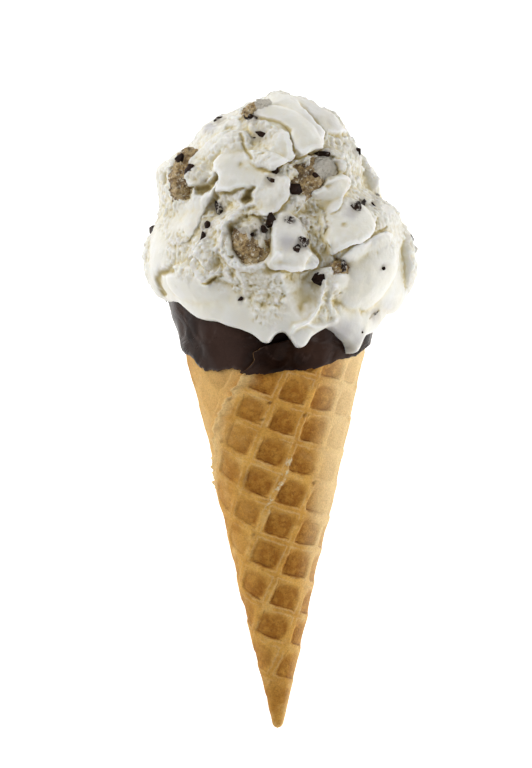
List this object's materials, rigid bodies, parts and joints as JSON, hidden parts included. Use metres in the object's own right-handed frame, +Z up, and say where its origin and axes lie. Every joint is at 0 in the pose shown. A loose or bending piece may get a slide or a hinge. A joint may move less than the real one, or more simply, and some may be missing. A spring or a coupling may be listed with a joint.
{
  "type": "ice cream cone",
  "caption": "Vanilla ice cream with cookie dough and chocolate chips, melting over a rolled waffle cone with a chocolate-dipped rim, lying on its side.",
  "frame": {"origin": "middle of the footprint on the surface it lies on", "axes": "+Y along the cone from its tip to the scoop, +X across it to the right, +Z up, out of the shown side"},
  "size_m": [0.0914, 0.2066, 0.0848],
  "materials": {
    "waffle": "baked, dry and lightly sheened, darker in the pressed squares",
    "dark_chocolate": "set chocolate with a soft sheen",
    "vanilla": "creamy, soft and torn, wet where it melts",
    "cookie_dough": "coarse and grainy"
  },
  "bodies": {
    "root": {"waffle_cone": "waffle", "chocolate_dip": "dark_chocolate", "ice_cream": "vanilla", "cookie_dough_left": "cookie_dough", "cookie_dough_middle": "cookie_dough", "cookie_dough_right": "cookie_dough", "cookie_dough_low": "cookie_dough", "cookie_dough_top": "cookie_dough", "cookie_dough_back_left": "cookie_dough", "cookie_dough_back_right": "cookie_dough", "cookie_dough_back": "cookie_dough"}
  },
  "joints": []
}
